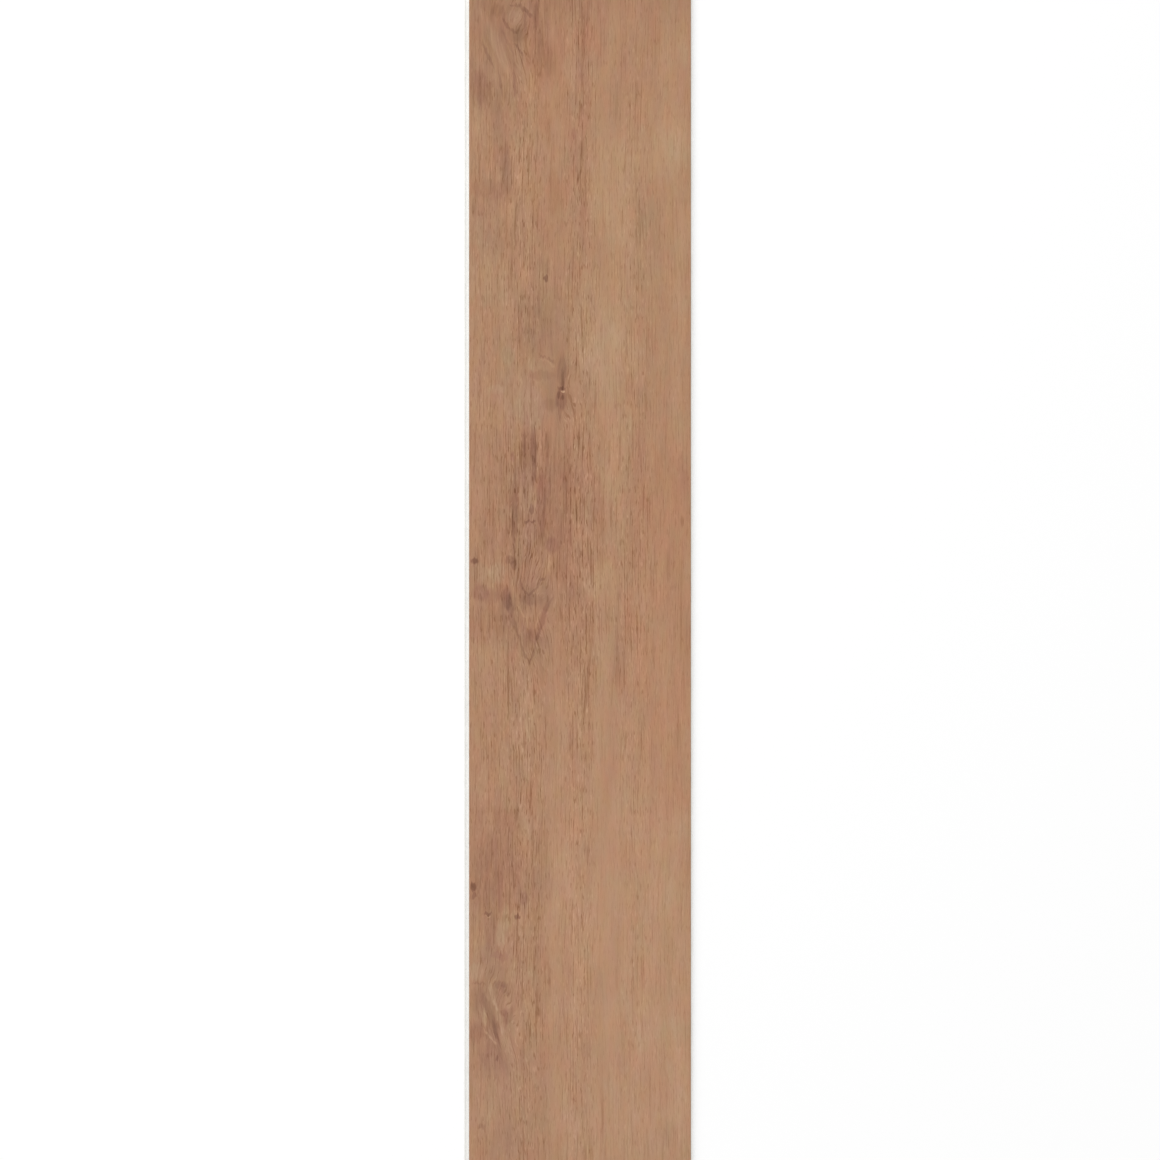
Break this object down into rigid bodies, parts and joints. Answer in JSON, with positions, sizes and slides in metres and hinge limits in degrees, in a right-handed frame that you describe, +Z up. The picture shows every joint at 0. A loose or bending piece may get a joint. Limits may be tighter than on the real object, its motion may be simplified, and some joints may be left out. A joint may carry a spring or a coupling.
{
  "type": "rigid core vinyl plank",
  "caption": "Rigid core vinyl floor plank with a warm oak print, a fine bevel round the face and a swing-in locking joint milled on every edge.",
  "frame": {"origin": "under the middle of the face, on the flat underside", "axes": "+X across the plank towards its long tongue, +Y along it towards its end tongue, +Z up out of the face"},
  "size_m": [0.2364, 1.227, 0.006],
  "materials": {
    "plank": "matte embossed wear layer over a printed oak film"
  },
  "bodies": {
    "root": {"plank": "plank"}
  },
  "joints": []
}
